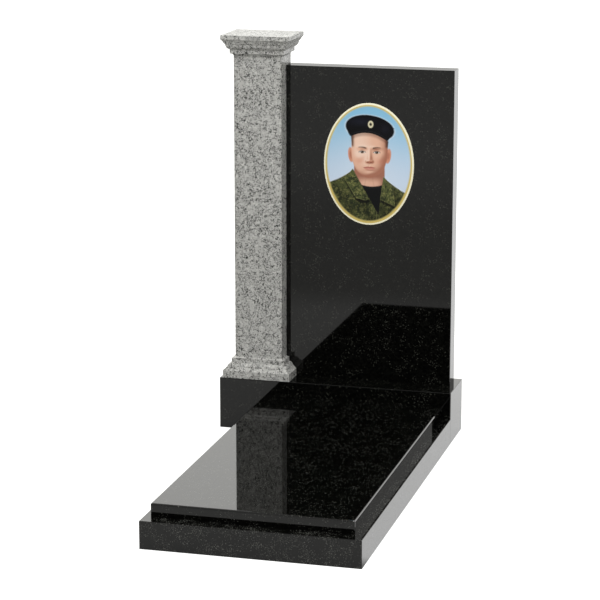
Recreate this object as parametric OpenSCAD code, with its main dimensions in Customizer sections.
// Grave memorial with a square pillar: a grey granite pillar and a black stele
// stand on one base block, and a cover slab on its kerb lies in front of them.
// +X runs along the stele, +Y towards its back, +Z up. Millimetres.
// The origin is under the middle of the whole memorial, on the ground.

/* [Stele] */
// Width of the upright black stele
stele_w = 600; // [300:1:1000]
// Height of the stele above the base block
stele_h = 1120; // [700:1:1800]
// Thickness of the stele
stele_t = 73; // [40:1:110]
// Base block left bare behind the stele
stele_back_margin = 30; // [0:1:60]
// Base block left bare at the right of the stele
stele_side_margin = 24; // [0:1:120]

/* [Pillar] */
// How far the capital's underside stands above the top of the stele
capital_rise = 35; // [5:1:400]
// Width of the plain shaft
shaft_w = 173; // [100:1:300]
// Depth of the plain shaft
shaft_d = 126; // [90:1:250]
// How far the ogee stands out beyond the fillet
ogee_out = 26; // [10:1:40]
// How far the fillet stands out beyond the shaft
fillet_out = 11; // [4:1:25]
// Level step between the ogee's hollow and its bulge
quirk = 3; // [0:0.5:6]
// Base block left bare at the left of the pillar
pillar_side_margin = 11; // [0:1:80]
// Base block left bare in front of the pillar and behind it
pillar_front_margin = 2; // [0:1:60]

/* [Pillar capital] */
// Height of the flat fascia under the top
cap_fascia_h = 15; // [8:1:60]
// Height of the ogee under the fascia
cap_ogee_h = 35; // [10:1:60]
// Height of the fillet under the ogee
cap_fillet_h = 16; // [6:1:40]
// Height of the hollow that runs into the shaft
cap_neck_h = 8; // [3:1:30]

/* [Pillar base] */
// Height of the plinth
plinth_h = 27; // [8:1:80]
// Height of the ogee above the plinth
base_ogee_h = 24; // [10:1:60]
// Height of the fillet above the ogee
base_fillet_h = 17; // [6:1:40]
// Height of the hollow that runs into the shaft
base_neck_h = 4; // [2:1:30]

/* [Base block] */
// Height of the block that carries the pillar and the stele
block_h = 185; // [100:1:300]

/* [Kerb and cover slab] */
// Length of the kerb in front of the block
kerb_l = 1330; // [700:1:2200]
// Height of the kerb above the ground
kerb_h = 90; // [50:1:150]
// How far the kerb's left side stands in from the block's left end
kerb_side_inset = 148; // [0:1:200]
// Thickness of the cover slab
slab_t = 43; // [20:1:80]
// Bare ledge of the kerb at the left of the slab
ledge_left = 22; // [0:1:80]
// Bare ledge of the kerb at the right of the slab
ledge_right = 33; // [0:1:80]
// Bare ledge of the kerb in front of the slab
ledge_front = 47; // [0:1:120]
// Chamfer along the slab's upper edges
slab_chamfer = 5; // [1:0.5:12]

/* [Portrait] */
// Width of the oval ceramic plate
portrait_w = 323; // [120:1:360]
// Height of the oval ceramic plate
portrait_h = 431; // [160:1:480]
// From the top of the stele down to the middle of the plate
portrait_drop = 338; // [250:1:600]
// Thickness of the plate at its rim
rim_t = 5; // [3:0.5:12]
// How far the middle of the plate bulges beyond its rim
crown = 6; // [0:0.5:15]

/* [Fits] */
// Width of the dry joints between upright faces that meet
joint_gap = 0.5; // [0:0.1:3]
// Narrow chamfer along the edges of the dressed stones
arris = 2; // [0.5:0.5:4]

/* [Hidden] */

arc_steps = 8;          // straight pieces in each curved stretch of a moulding
hollow_share = 0.44;    // part of an ogee that its hollow takes, the rest bulges
cove_sag = 0.35;        // how hollow an ogee's hollow is: 0 is a plain slope, 1 a full quarter
oval_sides = 96;        // straight sides of the oval plate
dome_rings = 6;         // rings between the plate's rim and its middle
spill = 1;              // how far a cutting shape runs past what it cuts

mould_out = ogee_out + fillet_out;
pillar_w = shaft_w + 2 * mould_out;
pillar_d = shaft_d + 2 * mould_out;
base_h = plinth_h + base_ogee_h + base_fillet_h + base_neck_h;
cap_h = cap_fascia_h + cap_ogee_h + cap_fillet_h + cap_neck_h;
pillar_h = stele_h + capital_rise + cap_h;
shaft_h = pillar_h - base_h - cap_h;

shaft_x = pillar_side_margin + mould_out;
shaft_y = pillar_front_margin + mould_out;
stele_x = shaft_x + shaft_w + joint_gap;
block_w = stele_x + stele_w + stele_side_margin;
block_d = pillar_d + 2 * pillar_front_margin;
stele_y = block_d - stele_back_margin - stele_t;
kerb_w = block_w - kerb_side_inset;
slab_w = kerb_w - ledge_left - ledge_right;
slab_l = kerb_l - ledge_front;
memorial_l = kerb_l + joint_gap + block_d;

// Outline of a rectangle with its corners cut off at 45 degrees.
// cuts lists them from the lower left corner, anticlockwise.
function cut_rect(w, h, cuts) = concat(
    cuts[0] > 0 ? [[0, cuts[0]], [cuts[0], 0]] : [[0, 0]],
    cuts[1] > 0 ? [[w - cuts[1], 0], [w, cuts[1]]] : [[w, 0]],
    cuts[2] > 0 ? [[w, h - cuts[2]], [w - cuts[2], h]] : [[w, h]],
    cuts[3] > 0 ? [[cuts[3], h], [0, h - cuts[3]]] : [[0, h]]);

// A quarter of an ellipse that leaves p level and ends upright: a hollow
function hollow(p, out, up) = [for (i = [1 : arc_steps])
    let (a = 90 * i / arc_steps) [p[0] + out * sin(a), p[1] + up * (1 - cos(a))]];

// A hollow of the same reach, flattened towards a plain slope
function cove(p, out, up) = let (full = hollow(p, out, up))
    [for (i = [1 : arc_steps]) let (share = i / arc_steps)
        cove_sag * full[i - 1] + (1 - cove_sag) * [p[0] + share * out, p[1] + share * up]];

// A quarter of an ellipse that leaves p upright and ends level: a bulge
function bulge(p, out, up) = [for (i = [1 : arc_steps])
    let (a = 90 * i / arc_steps) [p[0] + out * (1 - cos(a)), p[1] + up * sin(a)]];

// One side of a moulding as [distance in from the widest face, height],
// from the widest face to the shaft: fascia, ogee with its quirk, fillet and neck
function moulding(fascia_h, ogee_h, fillet_h, neck_h) =
    let (hollow_out = hollow_share * (ogee_out - quirk),
         hollow_h = hollow_share * ogee_h,
         turn = [hollow_out + quirk, fascia_h + hollow_h],
         fillet_top = fascia_h + ogee_h + fillet_h)
    concat([[0, 0], [0, fascia_h]],
           cove([0, fascia_h], hollow_out, hollow_h), [turn],
           bulge(turn, ogee_out - turn[0], ogee_h - hollow_h),
           [[ogee_out, fillet_top]],
           hollow([ogee_out, fillet_top], fillet_out, neck_h));

// The two sides of a moulding, w wide, as one closed outline
function silhouette(w, side) = concat(
    [for (p = side) [w - p[0], p[1]]],
    [for (i = [len(side) - 1 : -1 : 0]) side[i]]);

// Places a piece from the block's front left foot
module placed(x, y, z) {
    translate([x - block_w / 2, y + memorial_l / 2 - block_d, z]) children();
}

// A stone of the given size. front, side and plan list the corner cuts
// of its outlines from the front, from the right and from above.
module dressed_stone(size, front, side, plan) {
    intersection() {
        translate([0, size.y, 0]) rotate([90, 0, 0])
            linear_extrude(size.y) polygon(cut_rect(size.x, size.z, front));
        rotate([90, 0, 90])
            linear_extrude(size.x) polygon(cut_rect(size.y, size.z, side));
        linear_extrude(size.z) polygon(cut_rect(size.x, size.y, plan));
    }
}

// A moulded stone, widest at its foot, with its moulding mitred round
module moulded_stone(side) {
    intersection() {
        translate([0, pillar_d, 0]) rotate([90, 0, 0])
            linear_extrude(pillar_d) polygon(silhouette(pillar_w, side));
        rotate([90, 0, 90])
            linear_extrude(pillar_w) polygon(silhouette(pillar_d, side));
    }
}

// Oval plate with a flat back at z = 0 and a gently domed face
module domed_oval(w, h) {
    function ring(share, z) = [for (i = [0 : oval_sides - 1])
        let (a = 360 * i / oval_sides) [share * w / 2 * cos(a), share * h / 2 * sin(a), z]];
    shares = [for (k = [0 : dome_rings - 1]) cos(90 * k / dome_rings)];
    points = concat(ring(1, 0),
        [for (s = shares) each ring(s, rim_t + crown * (1 - s * s))],
        [[0, 0, rim_t + crown]]);
    walls = [for (k = [0 : dome_rings - 1], i = [0 : oval_sides - 1])
        let (j = (i + 1) % oval_sides, low = k * oval_sides, high = low + oval_sides)
        [low + i, high + i, high + j, low + j]];
    cap_start = dome_rings * oval_sides;
    cap = [for (i = [0 : oval_sides - 1])
        [cap_start + i, len(points) - 1, cap_start + (i + 1) % oval_sides]];
    back = [for (i = [0 : oval_sides - 1]) i];
    polyhedron(points, concat([back], walls, cap));
}

module base_block() {
    color("#262625")
    placed(0, 0, 0)
        dressed_stone([block_w, block_d, block_h],
                      [0, 0, arris, arris], [0, 0, arris, arris], [arris, arris, arris, arris]);
}

// The back butts against the block, so its edges stay sharp
module kerb() {
    color("#262625")
    placed(kerb_side_inset, -joint_gap - kerb_l, 0)
        dressed_stone([kerb_w, kerb_l, kerb_h],
                      [0, 0, arris, arris], [0, 0, 0, arris], [arris, arris, 0, 0]);
}

module cover_slab() {
    color("#2c2c2b")
    placed(kerb_side_inset + ledge_left, -joint_gap - slab_l, kerb_h)
        dressed_stone([slab_w, slab_l, slab_t],
                      [0, 0, slab_chamfer, slab_chamfer], [0, 0, 0, slab_chamfer],
                      [arris, arris, 0, 0]);
}

module stele() {
    color("#222221")
    placed(stele_x, stele_y, block_h)
        dressed_stone([stele_w, stele_t, stele_h],
                      [0, 0, arris, arris], [0, 0, arris, arris], [arris, arris, arris, arris]);
}

// Right of the shaft, the base is cut back to let the stele stand beside it
module pillar_base() {
    color("#a3a3a0")
    placed(pillar_side_margin, pillar_front_margin, block_h)
        difference() {
            moulded_stone(moulding(plinth_h, base_ogee_h, base_fillet_h, base_neck_h));
            translate([mould_out + shaft_w,
                       stele_y - joint_gap - pillar_front_margin, -spill])
                cube([mould_out + spill, pillar_d, base_h + 2 * spill]);
        }
}

module pillar_shaft() {
    color("#a8a8a5")
    placed(shaft_x, shaft_y, block_h + base_h)
        dressed_stone([shaft_w, shaft_d, shaft_h],
                      [0, 0, 0, 0], [0, 0, 0, 0], [arris, arris, arris, arris]);
}

// The same kind of moulding as the base's, turned upside down
module pillar_capital() {
    color("#a3a3a0")
    placed(pillar_side_margin, pillar_front_margin, block_h + pillar_h)
        mirror([0, 0, 1])
            moulded_stone(moulding(cap_fascia_h, cap_ogee_h, cap_fillet_h, cap_neck_h));
}

module portrait_oval() {
    color("#a9c6dc")
    placed(stele_x + stele_w / 2, stele_y, block_h + stele_h - portrait_drop)
        rotate([90, 0, 0]) domed_oval(portrait_w, portrait_h);
}

base_block();
kerb();
cover_slab();
stele();
pillar_base();
pillar_shaft();
pillar_capital();
portrait_oval();
